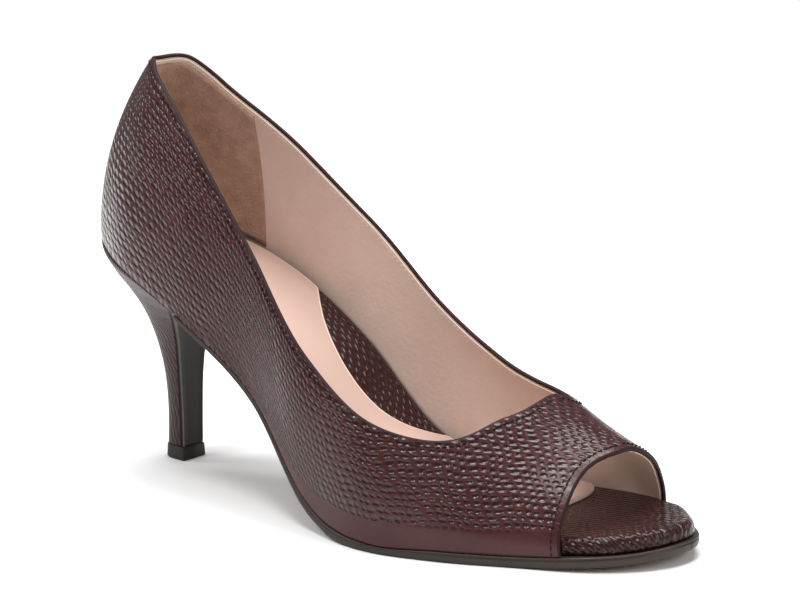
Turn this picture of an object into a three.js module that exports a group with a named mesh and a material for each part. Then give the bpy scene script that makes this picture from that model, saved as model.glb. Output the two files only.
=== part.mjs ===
// High heel pump with a peep toe, right shoe, built around a last that is worked out from a few sizes.
// Millimetres, +Z up, +X to the toe, +Y to the inner side of the foot, and the floor at z = 0.
import * as THREE from "three";
import { mergeVertices } from "three/addons/utils/BufferGeometryUtils.js";

// Sizes of the last
const length = 223;
const ballWidth = 74;
const heelHeight = 74.2;
const instepHeight = 68;
const backHeight = 58.2;
const backLean = 24.1;
const backSwell = 0.9;
const toeSpring = 3.8;
const toeSwing = 11.9;
const archTilt = 0.1;

// Sizes of the pieces
const wall = 1.8;
const clearance = 0.3;
const soleThickness = 3.6;
const treadSink = 0.15;
const shankThickness = 1.5;
const soleOverhang = 0.3;
const soleBevel = 0.7;
const insoleThickness = 5;
const insoleRimInset = 1.1;
const insoleRounding = 1.5;
const sockThickness = 1;
const sockInset = 1.2;
const heelInset = 0.6;
const breastAt = 56;
const breastThickness = 1.1;
const tipBackAt = 26.4;
const tipFrontAt = 36;
const tipWidth = 9.5;
const tipCorner = 2.4;
const topPieceHeight = 4.4;
const topPieceFlare = 0.35;

// Columns: along (share of length), rise (of heel height above the sole), spring (of toe spring),
// lateral and medial half widths (of ball width), crest (height above the bed, of instep height)
const lastRows = [
  [0.0, 1.0, 0.0, 0.0, 0.0, 1.21],
  [0.06, 0.945, 0.0, 0.212, 0.24, 1.21],
  [0.14, 0.892, 0.0, 0.34, 0.34, 1.2],
  [0.26, 0.759, 0.0, 0.404, 0.384, 1.155],
  [0.4, 0.495, 0.0, 0.408, 0.374, 1.02],
  [0.52, 0.129, 0.0, 0.491, 0.397, 1.025],
  [0.64, 0.009, 0.0, 0.566, 0.432, 0.842],
  [0.74, 0.0, 0.0, 0.548, 0.436, 0.697],
  [0.84, 0.0, 0.08, 0.465, 0.408, 0.478],
  [0.92, 0.0, 0.42, 0.36, 0.319, 0.352],
  [0.97, 0.0, 0.68, 0.232, 0.179, 0.262],
  [1.0, 0.0, 1.0, 0.0, 0.0, 0.206],
];

// Columns: along, swing (share of toe swing), tilt (share of arch tilt), sole (share of its thickness gain)
const bendRows = [
  [0.0, 0.0, 0.0, 0.0],
  [0.14, 0.0, 0.0, 0.0],
  [0.26, 0.0, 0.3, 0.0],
  [0.4, 0.0, 0.8, 0.4],
  [0.52, 0.01, 1.0, 0.85],
  [0.64, 0.1, 0.35, 1.0],
  [0.74, 0.455, 0.0, 1.0],
  [0.84, 0.81, 0.0, 1.0],
  [0.92, 0.89, 0.0, 1.0],
  [1.0, 1.0, 0.0, 1.0],
];

// Columns: along, belly (how far the lower side stands out), shoulder (how full the top of the side is)
const sectionRows = [
  [0.0, 1.047, 0.66],
  [0.15, 1.052, 0.47],
  [0.3, 1.084, 0.78],
  [0.45, 1.133, 1.27],
  [0.6, 1.102, 1.02],
  [0.75, 1.073, 0.52],
  [0.9, 1.065, 0.46],
  [1.0, 1.065, 0.46],
];

// Columns: along (share of length), and how far up the topline stands there, next to the back seam's end.
// Both are counted as shares of the way from the feather line to the ridge.
const lateralCollar = [
  [0.08, 1.077],
  [0.2, 1.04],
  [0.36, 0.906],
  [0.52, 0.921],
  [0.64, 0.862],
  [0.707, 0.86],
  [0.772, 1.285],
];
const medialCollar = [
  [0.08, 1.035],
  [0.2, 0.935],
  [0.36, 0.854],
  [0.52, 0.876],
  [0.64, 1.002],
  [0.72, 1.085],
  [0.775, 1.274],
];
const throatAt = 0.786;

// Columns: the share of the way up, and where the peep toe's edge stands along the length there
const lateralPeep = [
  [0.0, 0.892],
  [0.33, 0.887],
  [0.66, 0.884],
];
const medialPeep = [
  [0.0, 0.883],
  [0.33, 0.888],
  [0.66, 0.902],
];
const peepCrownAt = 0.9;

// Columns: drop (share of the way from the seat to the tip), then how much of the seat's half width,
// back reach and front reach beyond the tip is left there
const heelRows = [
  [0.0, 1.0, 1.0, 1.0],
  [0.03, 0.935, 0.96, 0.91],
  [0.07, 0.76, 0.885, 0.7],
  [0.13, 0.565, 0.745, 0.48],
  [0.2, 0.38, 0.555, 0.28],
  [0.3, 0.205, 0.345, 0.115],
  [0.42, 0.092, 0.19, 0.033],
  [0.6, 0.034, 0.04, 0.0],
  [0.8, 0.009, -0.01, 0.0],
  [1.0, 0.0, 0.0, 0.0],
];

// Columns: along, and the sock's inner edge there (share of ball width from the axis, to the medial side)
const sockCutRows = [
  [0.28, 0.42],
  [0.32, 0.3],
  [0.37, 0.17],
  [0.43, 0.095],
  [0.48, 0.13],
  [0.53, 0.27],
  [0.57, 0.42],
];
const sockFrontAt = 0.8;
const sockRoundFrom = 0.745;

// A smooth curve through points, with slopes from its neighbours
function smooth(places, values) {
  const last = places.length - 1;
  const gaps = places.slice(1).map((place, i) => place - places[i]);
  const rates = gaps.map((gap, i) => (values[i + 1] - values[i]) / gap);
  const slopes = places.map((place, i) =>
    i > 0 && i < last ? (rates[i - 1] * gaps[i] + rates[i] * gaps[i - 1]) / (gaps[i] + gaps[i - 1]) : 0,
  );
  slopes[0] = 1.5 * rates[0] - 0.5 * slopes[1];
  slopes[last] = 1.5 * rates[last - 1] - 0.5 * slopes[last - 1];
  return (place) => {
    let i = 0;
    while (i < last - 1 && place > places[i + 1]) i += 1;
    const s = (place - places[i]) / gaps[i];
    const start = values[i] * (1 + 2 * s) * (1 - s) ** 2 + slopes[i] * gaps[i] * s * (1 - s) ** 2;
    const end = values[i + 1] * s * s * (3 - 2 * s) - slopes[i + 1] * gaps[i] * s * s * (1 - s);
    return start + end;
  };
}

function column(rows, index) {
  return rows.map((row) => row[index]);
}

// The turn runs evenly around both round ends of the last: 0 at the back and 1 at the toe
const turnOf = (along) => Math.acos(1 - 2 * along) / Math.PI;
const alongOf = (turn) => (1 - Math.cos(Math.PI * turn)) / 2;

const lastTurns = column(lastRows, 0).map(turnOf);
const rise = smooth(column(lastRows, 0), column(lastRows, 1));
const spring = smooth(column(lastRows, 0), column(lastRows, 2));
const lateralHalf = smooth(lastTurns, column(lastRows, 3));
const medialHalf = smooth(lastTurns, column(lastRows, 4));
const crest = smooth(column(lastRows, 0), column(lastRows, 5));
const swing = smooth(column(bendRows, 0), column(bendRows, 1));
const tilt = smooth(column(bendRows, 0), column(bendRows, 2));
const soleGain = smooth(column(bendRows, 0), column(bendRows, 3));
const belly = smooth(column(sectionRows, 0), column(sectionRows, 1));
const shoulder = smooth(column(sectionRows, 0), column(sectionRows, 2));

const lateral = -1;
const medial = 1;
const axisY = (along) => toeSwing * swing(along);

// Height of the feather plane, where upper and sole meet
function bedAt(x, y) {
  const along = THREE.MathUtils.clamp(x / length, 0, 1);
  const tread = soleThickness - treadSink;
  const middle = tread + (heelHeight - soleThickness) * rise(along) + toeSpring * spring(along);
  return middle + archTilt * tilt(along) * (y - axisY(along));
}

// A point of the last's skin: turn from back to toe, share of the way up from feather line to ridge
const lowerPull = 0.42;
const leanReach = 0.28;
function lastPoint(turn, up, side) {
  const along = alongOf(turn);
  const half = ballWidth * (side === lateral ? lateralHalf(turn) : medialHalf(turn));
  const height = instepHeight * crest(along);
  const down = 1 - up;
  const low = 3 * down * down * up;
  const high = 3 * down * up * up;
  const out = half * (down ** 3 + low * belly(along) + high * shoulder(along));
  const lift = height * (low * lowerPull + high + up ** 3);
  const climb = lift / backHeight;
  const fade = Math.max(0, 1 - along / leanReach) ** 2;
  const x = along * length + fade * (backLean * climb * climb - backSwell * climb * (1 - climb));
  const y = axisY(along) + side * out;
  return new THREE.Vector3(x, y, bedAt(along * length, y) + lift);
}

// The share of the way up at which the back seam ends
const shareTolerance = 1e-6;
function backShare() {
  let low = 0;
  let high = 1;
  while (high - low > shareTolerance) {
    const middle = (low + high) / 2;
    const lift = lastPoint(0, middle, lateral).z - bedAt(0, 0);
    if (lift < backHeight) low = middle;
    else high = middle;
  }
  return low;
}

// A curve over turn and share, from 0 to 1, squared to the seam or ridge by a mirrored point at its end
const turnWeight = 2.2;
function edgeCurve(points, squareStart) {
  const before = squareStart ? [[-points[1][0], points[1][1]]] : [];
  const end = points.at(-2);
  const all = [...before, ...points, [end[0], 2 - end[1]]];
  const run = [0];
  for (let i = 1; i < all.length; i += 1) {
    run.push(run[i - 1] + Math.hypot(turnWeight * (all[i][0] - all[i - 1][0]), all[i][1] - all[i - 1][1]));
  }
  const turn = smooth(run, column(all, 0));
  const up = smooth(run, column(all, 1));
  const first = run[before.length];
  const final = run.at(-2);
  return (share) => {
    const at = THREE.MathUtils.lerp(first, final, share);
    return [turn(at), up(at)];
  };
}

function collarCurve(side) {
  const rows = side === lateral ? lateralCollar : medialCollar;
  const back = backShare();
  const turns = rows.map(([along, height]) => [turnOf(along), height * back]);
  return edgeCurve([[0, back], ...turns, [turnOf(throatAt), 1]], true);
}

function peepCurve(side) {
  const rows = side === lateral ? lateralPeep : medialPeep;
  const turns = rows.map(([up, along]) => [turnOf(along), up]);
  return edgeCurve([...turns, [turnOf(peepCrownAt), 1]], false);
}

// A closed solid from loose triangles: equal corners are merged and flat triangles dropped
const mergeDistance = 1e-3;
function solid(name, points, triangles, material) {
  const raw = new THREE.BufferGeometry();
  const places = points.flatMap((point) => point.toArray());
  raw.setAttribute("position", new THREE.Float32BufferAttribute(places, 3));
  raw.setIndex(triangles.flat());
  const geometry = mergeVertices(raw, mergeDistance);
  const index = Array.from(geometry.getIndex().array);
  const kept = [];
  for (let i = 0; i < index.length; i += 3) {
    const [a, b, c] = index.slice(i, i + 3);
    if (a !== b && b !== c && c !== a) kept.push(a, b, c);
  }
  geometry.setIndex(kept);
  geometry.computeVertexNormals();
  const mesh = new THREE.Mesh(geometry, material);
  mesh.name = name;
  return mesh;
}

// A solid through closed loops from bottom to top, each anticlockwise seen from above.
// Point i faces point n - 1 - i across the loop, which is how both ends are closed.
function loft(name, loops, material) {
  const count = loops[0].length;
  const triangles = [];
  const quad = (a, b, c, d) => triangles.push([a, b, c], [a, c, d]);
  for (let level = 0; level + 1 < loops.length; level += 1) {
    for (let i = 0; i < count; i += 1) {
      const low = level * count;
      const next = (i + 1) % count;
      quad(low + i, low + next, low + count + next, low + count + i);
    }
  }
  const top = (loops.length - 1) * count;
  for (let i = 0; i + 1 < count / 2; i += 1) {
    const across = count - 1 - i;
    quad(across, across - 1, i + 1, i);
    quad(top + i, top + i + 1, top + across - 1, top + across);
  }
  return solid(name, loops.flat(), triangles, material);
}

// The direction across a grid of the last's skin, into the shoe
const probe = 1e-3;
function inwardNormal(turn, up, side) {
  const forward = lastPoint(turn + probe, up, side).sub(lastPoint(turn - probe, up, side));
  const upward = lastPoint(turn, up + probe, side).sub(lastPoint(turn, up - probe, side));
  return forward.cross(upward).multiplyScalar(side).normalize();
}

// The upper: one wall from the feather line to the collar, the ridge of the vamp and the peep toe
const collarSteps = 42;
const vampSteps = 12;
const heightSteps = 10;
const peepFade = 4;
function upperSide(side) {
  const collar = collarCurve(side);
  const peep = peepCurve(side);
  const throat = turnOf(throatAt);
  const crown = turnOf(peepCrownAt);
  const foot = peep(0)[0];
  const columns = collarSteps + vampSteps;
  const outer = [];
  const inner = [];
  for (let i = 0; i <= columns; i += 1) {
    const past = (i - collarSteps) / vampSteps;
    const ridge = [THREE.MathUtils.lerp(throat, crown, past), 1];
    const [topTurn, topUp] = past <= 0 ? collar(i / collarSteps) : ridge;
    const footTurn = (topTurn * foot) / crown;
    const pull = (i / columns) ** peepFade;
    const outerColumn = [];
    const innerColumn = [];
    for (let j = 0; j <= heightSteps; j += 1) {
      const share = j / heightSteps;
      const [peepTurn, peepUp] = peep(share);
      const peepOff = peepTurn - THREE.MathUtils.lerp(foot, crown, share);
      const turn = THREE.MathUtils.lerp(footTurn, topTurn, share) + pull * peepOff;
      const up = share * topUp + pull * (peepUp - share);
      const point = lastPoint(turn, up, side);
      const inside = point.clone().addScaledVector(inwardNormal(turn, up, side), wall);
      if (j === 0) inside.z = bedAt(inside.x, inside.y);
      outerColumn.push(point);
      innerColumn.push(inside);
    }
    outer.push(outerColumn);
    inner.push(innerColumn);
  }
  return { outer, inner, columns };
}

function makeUpper(material) {
  const points = [];
  const triangles = [];
  for (const side of [lateral, medial]) {
    const { outer, inner, columns } = upperSide(side);
    const stride = heightSteps + 1;
    const outerStart = points.length;
    points.push(...outer.flat());
    const innerStart = points.length;
    points.push(...inner.flat());
    const out = (i, j) => outerStart + i * stride + j;
    const into = (i, j) => innerStart + i * stride + j;
    const quad = (a, b, c, d) => {
      const corners = side === medial ? [a, b, c, d] : [d, c, b, a];
      triangles.push([corners[0], corners[1], corners[2]], [corners[0], corners[2], corners[3]]);
    };
    for (let i = 0; i < columns; i += 1) {
      for (let j = 0; j < heightSteps; j += 1) {
        quad(out(i, j), out(i, j + 1), out(i + 1, j + 1), out(i + 1, j));
        quad(into(i + 1, j), into(i + 1, j + 1), into(i, j + 1), into(i, j));
      }
      quad(into(i, 0), out(i, 0), out(i + 1, 0), into(i + 1, 0));
      if (i < collarSteps) {
        quad(out(i, heightSteps), into(i, heightSteps), into(i + 1, heightSteps), out(i + 1, heightSteps));
      }
    }
    for (let j = 0; j < heightSteps; j += 1) {
      quad(out(columns, j), out(columns, j + 1), into(columns, j + 1), into(columns, j));
    }
  }
  return solid("upper", points, triangles, material);
}

// A point of the last's bottom outline, moved in across its edge
function outlinePoint(turn, side, inset) {
  const here = lastPoint(turn, 0, side);
  const ahead = lastPoint(turn + probe, 0, side);
  const behind = lastPoint(turn - probe, 0, side);
  const run = new THREE.Vector2(ahead.x - behind.x, ahead.y - behind.y).normalize();
  return new THREE.Vector2(here.x + side * run.y * inset, here.y - side * run.x * inset);
}

// A closed loop along the lateral outline to the toe and back along the medial one
function outlineLoop(turns, insetAt, heightAt) {
  const edge = (side) =>
    turns.map((turn) => {
      const { x, y } = outlinePoint(turn, side, insetAt(turn));
      return new THREE.Vector3(x, y, heightAt(x, y));
    });
  return [...edge(lateral), ...edge(medial).reverse()];
}

function evenly(from, to, steps) {
  return Array.from({ length: steps + 1 }, (unused, i) => THREE.MathUtils.lerp(from, to, i / steps));
}

// The outsole: thin at the shank, full at the ball, flattened where it treads
const soleSteps = 60;
const bevelShare = 0.6;
function soleUnderside(x, y) {
  const thickness = THREE.MathUtils.lerp(shankThickness, soleThickness, soleGain(x / length));
  return Math.max(0, bedAt(x, y) - thickness);
}

function makeOutsole(material) {
  const turns = evenly(turnOf((breastAt + clearance) / length), 1, soleSteps);
  const topAt = (x, y) => bedAt(x, y) - clearance;
  const bevelAt = (x, y) => {
    const low = soleUnderside(x, y);
    return Math.min(low + soleBevel, THREE.MathUtils.lerp(low, topAt(x, y), bevelShare));
  };
  const loops = [
    outlineLoop(turns, () => soleBevel - soleOverhang, soleUnderside),
    outlineLoop(turns, () => -soleOverhang, bevelAt),
    outlineLoop(turns, () => -soleOverhang, topAt),
  ];
  return loft("outsole", loops, material);
}

// The insole: a padded footbed inside the wall, wider where it shows through the peep toe.
// Rim columns: how far in (of the rounding), and how high (of the thickness)
const insoleRim = [
  [0.33, 0.0],
  [0.0, 0.2],
  [0.07, 0.6],
  [0.5, 0.9],
  [1.4, 1.0],
];
const insoleSteps = 72;
const rimFrom = 0.9;
const rimTo = 0.94;
function insoleInset(turn) {
  const hidden = wall + clearance;
  const shown = THREE.MathUtils.smoothstep(alongOf(turn), rimFrom, rimTo);
  return THREE.MathUtils.lerp(hidden, insoleRimInset, shown);
}

function makeInsole(material) {
  const turns = evenly(0, 1, insoleSteps);
  const loops = insoleRim.map(([inset, high]) =>
    outlineLoop(
      turns,
      (turn) => insoleInset(turn) + insoleRounding * inset,
      (x, y) => bedAt(x, y) + insoleThickness * high,
    ),
  );
  return loft("insole", loops, material);
}

// The sock lining: a thin sheet on the footbed, cut away at the arch and rounded under the vamp
const sockSteps = 44;
const sockStepEase = 0.9;
const sockRoundness = 3;
const sockCut = smooth(column(sockCutRows, 0), column(sockCutRows, 1));
function sockEdge(turn, side, inset) {
  const { x, y } = outlinePoint(turn, side, insoleInset(turn) + insoleRounding + sockInset + inset);
  const along = x / length;
  const inCut = side === medial && along > sockCutRows[0][0] && along < sockCutRows.at(-1)[0];
  const edgeY = inCut ? Math.min(y, axisY(along) + ballWidth * sockCut(along) - inset) : y;
  const past = THREE.MathUtils.clamp((along - sockRoundFrom) / (sockFrontAt - sockRoundFrom), 0, 1);
  const narrowing = (1 - past ** sockRoundness) ** (1 / sockRoundness);
  return [x, THREE.MathUtils.lerp(axisY(along), edgeY, narrowing)];
}

function makeSock(material) {
  const endTurn = turnOf(sockFrontAt);
  const turnAt = (share) => endTurn * Math.sin((Math.PI / 2) * share) ** sockStepEase;
  const turns = evenly(0, 1, sockSteps).map(turnAt);
  const layer = (inset, lift) => {
    const edge = (side) =>
      turns.map((turn) => {
        const [x, y] = sockEdge(turn, side, inset);
        return new THREE.Vector3(x, y, bedAt(x, y) + insoleThickness + clearance + lift);
      });
    return [...edge(lateral), ...edge(medial).reverse()];
  };
  const half = sockThickness / 2;
  return loft("sock_lining", [layer(0, 0), layer(0, half), layer(half, sockThickness)], material);
}

// The heel: a column that spreads to the seat, with a flat breast in front
const heelDrops = column(heelRows, 0).map(Math.sqrt);
const sideLeft = smooth(heelDrops, column(heelRows, 1));
const backLeft = smooth(heelDrops, column(heelRows, 2));
const frontLeft = smooth(heelDrops, column(heelRows, 3));
const seatFade = 12;
const heelSteps = 18;
const heelLevels = 22;
const levelEase = 1.6;
const breastTurn = turnOf(breastAt / length);
const seatHalf = -outlinePoint(breastTurn, lateral, heelInset).y;
const tipTop = topPieceHeight + clearance;

const heelHalf = (drop) => THREE.MathUtils.lerp(tipWidth / 2, seatHalf, sideLeft(Math.sqrt(drop)));
const heelBack = (drop) => THREE.MathUtils.lerp(tipBackAt, heelInset, backLeft(Math.sqrt(drop)));
const heelFront = (drop) => THREE.MathUtils.lerp(tipFrontAt, breastAt, frontLeft(Math.sqrt(drop)));

function heelPoint(x, y, drop) {
  return new THREE.Vector3(x, y, THREE.MathUtils.lerp(bedAt(x, y) - clearance, tipTop, drop));
}

// How far a layer of this thickness reaches along X where the breast slopes
const dropProbe = 0.01;
function breastReach(drop, thickness) {
  const above = Math.max(0, drop - dropProbe);
  const below = Math.min(1, drop + dropProbe);
  const fall = (below - above) * (bedAt(breastAt, 0) - tipTop);
  const run = heelFront(above) - heelFront(below);
  return (thickness * Math.hypot(fall, run)) / fall;
}

// Half of a rounded outline with a flat front, from its middle at the back (0) to its front corner (1)
function roundedHalf(share, back, front, half, corner) {
  const angle = (Math.PI / 2) * share;
  const x = front - (front - back) * Math.cos(angle) ** (2 / corner);
  return [x, half * Math.sin(angle) ** (2 / corner)];
}

function mirroredLoop(steps, pointAt) {
  const shares = evenly(1, 0, steps);
  const medialEdge = shares.map((share) => pointAt(share, medial));
  const lateralEdge = shares.map((share) => pointAt(share, lateral)).reverse();
  return [...medialEdge, ...lateralEdge];
}

function heelLoop(drop) {
  const front = heelFront(drop) - breastReach(drop, breastThickness + clearance);
  return mirroredLoop(heelSteps, (share, side) => {
    const [x, y] = roundedHalf(share, heelBack(drop), front, heelHalf(drop), tipCorner);
    const [plainX, plainY] = roundedHalf(share, heelInset, breastAt, seatHalf, tipCorner);
    const seat = outlinePoint(breastTurn * share, side, heelInset);
    const fade = (1 - drop) ** seatFade;
    return heelPoint(x + fade * (seat.x - plainX), side * y + fade * (seat.y - side * plainY), drop);
  });
}

function heelDropsDown() {
  return evenly(1, 0, heelLevels).map((share) => share ** levelEase);
}

function makeHeel(material) {
  return loft("heel", heelDropsDown().map(heelLoop), material);
}

// The breast cover: a thin sheet on the front of the heel
const breastSteps = 6;
const breastEdgeInset = 0.15;
function makeBreast(material) {
  const loops = heelDropsDown().map((drop) => {
    const half = heelHalf(drop) - breastEdgeInset;
    const across = evenly(-half, half, breastSteps);
    const front = across.map((y) => heelPoint(heelFront(drop), y, drop));
    const reach = breastReach(drop, breastThickness);
    const behind = across.map((y) => heelPoint(heelFront(drop) - reach, y, drop));
    return [...front, ...behind.reverse()];
  });
  return loft("heel_breast", loops, material);
}

// The top piece: the wearing block under the heel, a little wider at the floor
const topPieceCorner = 2.8;
const topPieceEdge = 0.1;
function makeTopPiece(material) {
  const loopAt = (grow, z) =>
    mirroredLoop(heelSteps, (share, side) => {
      const half = tipWidth / 2 + grow;
      const [x, y] = roundedHalf(share, tipBackAt - grow, tipFrontAt + grow, half, topPieceCorner);
      return new THREE.Vector3(x, side * y, z);
    });
  return loft("top_piece", [loopAt(topPieceFlare, 0), loopAt(topPieceEdge, topPieceHeight)], material);
}

const embossedLeather = new THREE.MeshStandardMaterial({ color: 0x4b282b, roughness: 0.38, metalness: 0 });
const soleLeather = new THREE.MeshStandardMaterial({ color: 0x38322f, roughness: 0.45, metalness: 0 });
const footbedLeather = new THREE.MeshStandardMaterial({ color: 0x4b282b, roughness: 0.4, metalness: 0 });
const sockLeather = new THREE.MeshStandardMaterial({ color: 0xd9b3a4, roughness: 0.6, metalness: 0 });
const heelLeather = new THREE.MeshStandardMaterial({ color: 0x47262a, roughness: 0.4, metalness: 0 });
const breastLeather = new THREE.MeshStandardMaterial({ color: 0x2f2b28, roughness: 0.5, metalness: 0 });
const topPieceRubber = new THREE.MeshStandardMaterial({ color: 0x221f1e, roughness: 0.6, metalness: 0 });

const pump = new THREE.Group();
pump.add(
  makeUpper(embossedLeather),
  makeOutsole(soleLeather),
  makeInsole(footbedLeather),
  makeSock(sockLeather),
  makeHeel(heelLeather),
  makeBreast(breastLeather),
  makeTopPiece(topPieceRubber),
);

// The origin is on the floor, under the middle of the whole shoe
const middle = new THREE.Box3().setFromObject(pump).getCenter(new THREE.Vector3());
pump.position.set(-middle.x, -middle.y, 0);

export default pump;
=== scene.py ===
# %% [markdown]
# # A peep-toe pump in embossed leather
# A pump is built upside down round a last, a foot-shaped form of wood or plastic. Leather is
# pulled over it, a sole is glued under it, and a covered heel is screwed to the seat. This
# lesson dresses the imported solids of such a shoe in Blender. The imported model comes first,
# because every piece below must land exactly on the solid that it stands for.

import math

import bpy
import numpy as np
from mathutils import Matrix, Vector


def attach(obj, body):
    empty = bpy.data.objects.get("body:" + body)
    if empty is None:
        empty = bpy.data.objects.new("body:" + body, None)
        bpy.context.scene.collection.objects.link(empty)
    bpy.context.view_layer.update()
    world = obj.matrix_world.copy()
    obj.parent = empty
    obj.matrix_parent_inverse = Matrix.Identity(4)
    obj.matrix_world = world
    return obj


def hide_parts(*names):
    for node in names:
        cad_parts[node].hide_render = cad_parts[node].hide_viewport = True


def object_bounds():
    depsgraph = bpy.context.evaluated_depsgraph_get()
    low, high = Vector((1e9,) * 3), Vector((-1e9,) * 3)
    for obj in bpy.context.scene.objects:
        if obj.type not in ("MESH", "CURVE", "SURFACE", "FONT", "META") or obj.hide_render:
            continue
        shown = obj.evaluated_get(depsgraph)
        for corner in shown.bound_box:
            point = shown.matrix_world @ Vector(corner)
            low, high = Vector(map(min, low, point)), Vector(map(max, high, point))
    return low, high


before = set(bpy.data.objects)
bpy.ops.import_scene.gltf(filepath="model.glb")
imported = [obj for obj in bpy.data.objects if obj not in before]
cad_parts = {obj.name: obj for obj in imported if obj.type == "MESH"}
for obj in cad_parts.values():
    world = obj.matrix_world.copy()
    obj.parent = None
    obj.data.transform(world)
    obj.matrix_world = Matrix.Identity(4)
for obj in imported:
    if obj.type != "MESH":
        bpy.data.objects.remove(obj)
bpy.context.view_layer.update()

# %% [markdown]
# ## The camera
# The photograph was taken from the outer side, a little in front of the shoe and above it,
# with a long lens. The angle, the distance and the lens were fitted to the shoe's outline,
# so the camera is set from those numbers and not by eye.

# %% Camera at the photograph's angle
millimetre = 0.001
view_azimuth = math.radians(39.10)
view_elevation = math.radians(13.26)
view_distance = 917.05 * millimetre
look_at = Vector((8.07, 4.84, 64.89)) * millimetre
back_way = Vector((
    math.sin(view_azimuth) * math.cos(view_elevation),
    -math.cos(view_azimuth) * math.cos(view_elevation),
    math.sin(view_elevation),
))

camera_data = bpy.data.cameras.new("studio_camera")
camera_data.sensor_width = 36
camera_data.lens = 134.54
camera = bpy.data.objects.new("studio_camera", camera_data)
camera.location = look_at + back_way * view_distance
camera.rotation_mode = "QUATERNION"
camera.rotation_quaternion = (-back_way).to_track_quat("-Z", "Y")
bpy.context.collection.objects.link(camera)
bpy.context.scene.camera = camera
print("camera at", [round(v, 3) for v in camera.location])

# %% [markdown]
# ## The last, from its sizes
# A lastmaker describes a last by its length, its width at the ball, and the shape of a few
# cross-sections. The tables below hold those as shares of the named sizes, and a smooth
# curve runs through each column. Working from the same numbers as the solids keeps the
# fine skins of this scene within a hair of them, which hand modelling could not.

# %% Sizes of the last, in millimetres
last_length = 223
ball_width = 74
heel_height = 74.2
instep_height = 68
back_height = 58.2
back_lean = 24.1
back_swell = 0.9
toe_spring = 3.8
toe_swing = 11.9
arch_tilt = 0.1
sole_thickness = 3.6
tread_sink = 0.15
middle_of_shoe = (111.65, -0.698)

# along, rise, spring, lateral half, medial half, crest
last_rows = np.array([
    [0.0, 1.0, 0.0, 0.0, 0.0, 1.21],
    [0.06, 0.945, 0.0, 0.212, 0.24, 1.21],
    [0.14, 0.892, 0.0, 0.34, 0.34, 1.2],
    [0.26, 0.759, 0.0, 0.404, 0.384, 1.155],
    [0.4, 0.495, 0.0, 0.408, 0.374, 1.02],
    [0.52, 0.129, 0.0, 0.491, 0.397, 1.025],
    [0.64, 0.009, 0.0, 0.566, 0.432, 0.842],
    [0.74, 0.0, 0.0, 0.548, 0.436, 0.697],
    [0.84, 0.0, 0.08, 0.465, 0.408, 0.478],
    [0.92, 0.0, 0.42, 0.36, 0.319, 0.352],
    [0.97, 0.0, 0.68, 0.232, 0.179, 0.262],
    [1.0, 0.0, 1.0, 0.0, 0.0, 0.206],
])
# along, swing, tilt, sole gain
bend_rows = np.array([
    [0.0, 0.0, 0.0, 0.0],
    [0.14, 0.0, 0.0, 0.0],
    [0.26, 0.0, 0.3, 0.0],
    [0.4, 0.0, 0.8, 0.4],
    [0.52, 0.01, 1.0, 0.85],
    [0.64, 0.1, 0.35, 1.0],
    [0.74, 0.455, 0.0, 1.0],
    [0.84, 0.81, 0.0, 1.0],
    [0.92, 0.89, 0.0, 1.0],
    [1.0, 1.0, 0.0, 1.0],
])
# along, belly, shoulder
section_rows = np.array([
    [0.0, 1.047, 0.66],
    [0.15, 1.052, 0.47],
    [0.3, 1.084, 0.78],
    [0.45, 1.133, 1.27],
    [0.6, 1.102, 1.02],
    [0.75, 1.073, 0.52],
    [0.9, 1.065, 0.46],
    [1.0, 1.065, 0.46],
])
print("last rows:", len(last_rows), "bend rows:", len(bend_rows))

# %% [markdown]
# The columns have only a few rows, and a real last is smooth, so a curve is drawn through
# them whose slope at each row is weighed from both sides. It never kinks, which a glossy
# surface would show at once. Along the shoe, places are also given as turns: half a circle
# from heel to toe, which puts more rows at the round ends.


# %% A smooth curve through a column
def smooth(places, values):
    places = np.asarray(places, float)
    values = np.asarray(values, float)
    gaps = np.diff(places)
    rates = np.diff(values) / gaps
    slopes = np.empty(len(places))
    slopes[1:-1] = (rates[:-1] * gaps[1:] + rates[1:] * gaps[:-1]) / (gaps[1:] + gaps[:-1])
    slopes[0] = 1.5 * rates[0] - 0.5 * slopes[1]
    slopes[-1] = 1.5 * rates[-1] - 0.5 * slopes[-2]

    def curve(place):
        place = np.asarray(place, float)
        i = np.searchsorted(places[1:-1], place, side="left")
        s = (place - places[i]) / gaps[i]
        start = values[i] * (1 + 2 * s) * (1 - s) ** 2 + slopes[i] * gaps[i] * s * (1 - s) ** 2
        end = values[i + 1] * s * s * (3 - 2 * s) - slopes[i + 1] * gaps[i] * s * s * (1 - s)
        return start + end

    return curve


def turn_of(along):
    return np.arccos(1 - 2 * np.asarray(along, float)) / np.pi


def along_of(turn):
    return (1 - np.cos(np.pi * np.asarray(turn, float))) / 2


rise = smooth(last_rows[:, 0], last_rows[:, 1])
spring = smooth(last_rows[:, 0], last_rows[:, 2])
lateral_half = smooth(turn_of(last_rows[:, 0]), last_rows[:, 3])
medial_half = smooth(turn_of(last_rows[:, 0]), last_rows[:, 4])
crest = smooth(last_rows[:, 0], last_rows[:, 5])
swing = smooth(bend_rows[:, 0], bend_rows[:, 1])
tilt = smooth(bend_rows[:, 0], bend_rows[:, 2])
sole_gain = smooth(bend_rows[:, 0], bend_rows[:, 3])
belly = smooth(section_rows[:, 0], section_rows[:, 1])
shoulder = smooth(section_rows[:, 0], section_rows[:, 2])
print("ball half widths:", round(float(ball_width * lateral_half(turn_of(0.64))), 1), "mm lateral")

# %% [markdown]
# The bed is the last's underside, and the skin is its upper side. A cross-section of the
# skin is one bow from the feather line over the belly and the shoulder to the ridge. So any
# place on the last has two numbers, its turn and its share of the way up, and each piece
# below is cut and shaped on the skin with those.


# %% The bed and the skin of the last
lateral = -1
medial = 1
lower_pull = 0.42
lean_reach = 0.28


def axis_y(along):
    return toe_swing * swing(along)


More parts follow.
